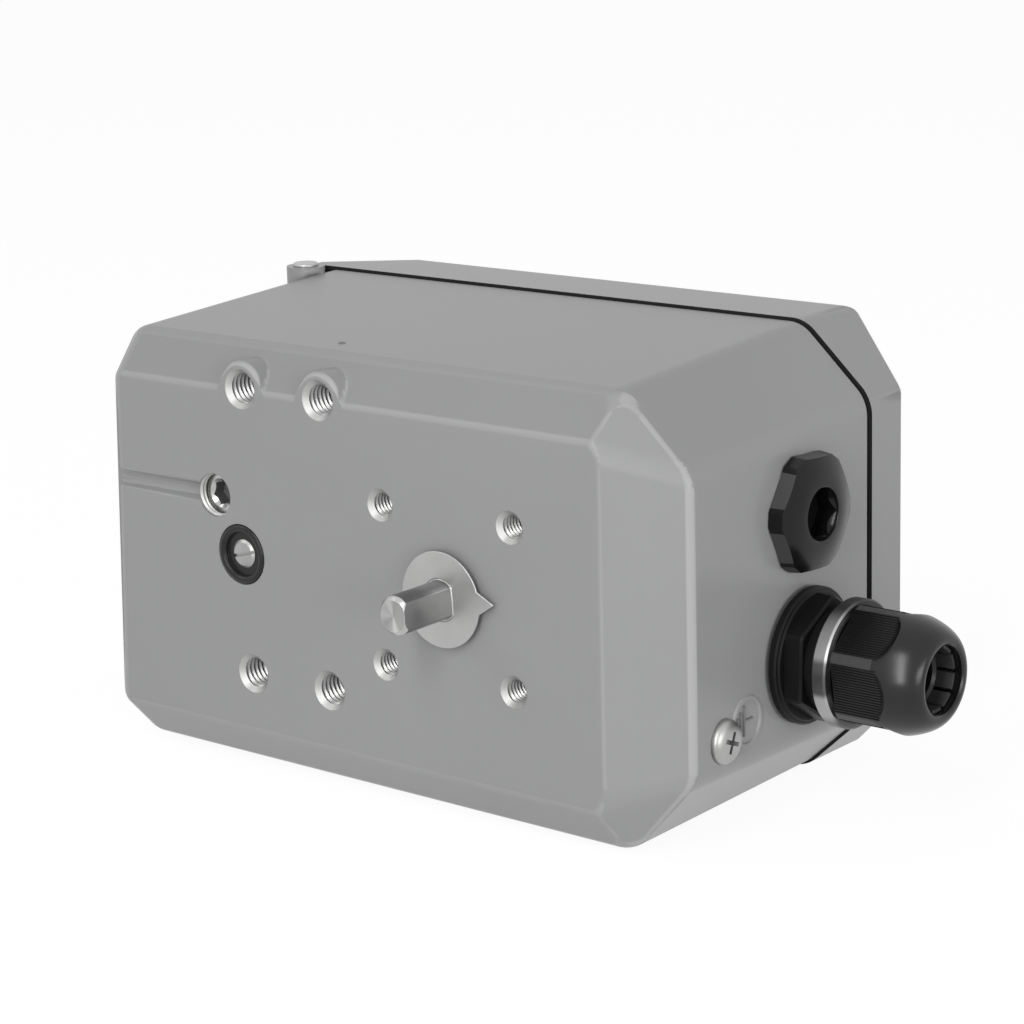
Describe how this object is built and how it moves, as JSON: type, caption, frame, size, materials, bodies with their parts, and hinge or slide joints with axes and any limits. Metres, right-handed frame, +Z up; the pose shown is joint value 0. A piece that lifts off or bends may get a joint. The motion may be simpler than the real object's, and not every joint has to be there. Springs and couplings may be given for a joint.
{
  "type": "valve positioner",
  "caption": "Cast-case valve positioner with a hinged cover, a flatted feedback shaft with pointer, cable gland, blind plug and tapped mounting holes in its back.",
  "frame": {"origin": "where the feedback shaft's axis meets the mounting face", "axes": "+X towards the cable gland, +Y from the mounting face towards the cover, +Z up; the shaft stands out towards -Y"},
  "size_m": [0.2016, 0.1142, 0.1039],
  "materials": {
    "case_paint": "grey powder coat, satin",
    "steel": "turned",
    "satin_steel": "satin",
    "zinc_steel": "zinc plated",
    "bronze": "sintered",
    "gear_brass": "machined",
    "black_rubber": "matte",
    "black_plastic": "moulded",
    "grey_plastic": "moulded",
    "nickel_ring": "dark nickel",
    "cast_aluminium": "machined",
    "board_green": "solder mask",
    "display_glass": "gloss",
    "terminal_green": "moulded",
    "light_keys": "moulded",
    "clear_pane": "polished"
  },
  "bodies": {
    "case": {"housing": "case_paint", "hinge_pin": "steel", "front_bush": "bronze", "rear_bush": "bronze", "shaft_seal": "black_rubber", "sensor_bracket": "zinc_steel", "bracket_screws": "zinc_steel", "potentiometer": "grey_plastic", "pot_nut": "zinc_steel", "blanking_plug": "zinc_steel", "air_port_seal": "black_rubber", "slotted_screw": "zinc_steel", "manifold_gasket": "black_rubber", "air_block": "cast_aluminium", "air_block_screws": "zinc_steel", "ip_converter": "grey_plastic", "converter_screws": "zinc_steel", "vent_seal": "black_rubber", "vent_plug": "black_plastic", "blind_plug_seal": "black_rubber", "blind_plug": "black_plastic", "gland_seal": "black_rubber", "gland_body": "black_plastic", "gland_ring": "nickel_ring", "gland_nut": "black_plastic", "gland_clamp": "black_plastic", "gland_insert": "black_rubber", "earth_screw": "zinc_steel", "inner_earth_screw": "zinc_steel", "circuit_board": "board_green", "lcd_display": "display_glass", "key_switches": "black_plastic", "module_cover": "grey_plastic", "module_screws": "zinc_steel", "terminal_block": "terminal_green", "terminal_screws": "zinc_steel", "terminal_fixing_screws": "zinc_steel"},
    "cover_group": {"cover": "case_paint", "cover_gasket": "black_rubber", "cover_screws": "zinc_steel", "window_seal": "black_rubber", "window_pane": "clear_pane", "window_frame": "zinc_steel", "window_frame_screws": "zinc_steel"},
    "shaft_group": {"sensor_shaft": "steel", "pointer_disc": "satin_steel", "retaining_ring": "steel", "drive_gear": "gear_brass", "gear_set_screw": "zinc_steel"},
    "pinion_group": {"pot_pinion": "gear_brass", "pot_shaft": "steel"},
    "mode_key": {"button_mode": "light_keys"},
    "down_key": {"button_down": "light_keys"},
    "up_key": {"button_up": "light_keys"},
    "enter_key": {"button_enter": "light_keys"}
  },
  "joints": [
    {"name": "cover_hinge", "type": "hinge", "parent": "case", "child": "cover_group", "pos_m": [-0.1035, 0.072, 0], "axis": [0, 0, 1], "range_deg": [0, 110]},
    {"name": "shaft_turn", "type": "hinge", "parent": "case", "child": "shaft_group", "pos_m": [0, 0, 0], "axis": [0, 1, 0], "range_deg": [-60, 60]},
    {"name": "pinion_turn", "type": "hinge", "parent": "case", "child": "pinion_group", "pos_m": [0, 0, 0.0224], "axis": [0, 1, 0], "range_deg": [-155, 155]},
    {"name": "mode_press", "type": "slide", "parent": "case", "child": "mode_key", "axis": [0, -1, 0], "range_m": [0, 0.0008], "stiffness_N_per_m": 800},
    {"name": "down_press", "type": "slide", "parent": "case", "child": "down_key", "axis": [0, -1, 0], "range_m": [0, 0.0008], "stiffness_N_per_m": 800},
    {"name": "up_press", "type": "slide", "parent": "case", "child": "up_key", "axis": [0, -1, 0], "range_m": [0, 0.0008], "stiffness_N_per_m": 800},
    {"name": "enter_press", "type": "slide", "parent": "case", "child": "enter_key", "axis": [0, -1, 0], "range_m": [0, 0.0008], "stiffness_N_per_m": 800}
  ],
  "couplings": [
    {"joint": "pinion_turn", "follows": "shaft_turn", "ratio": -2.5}
  ]
}
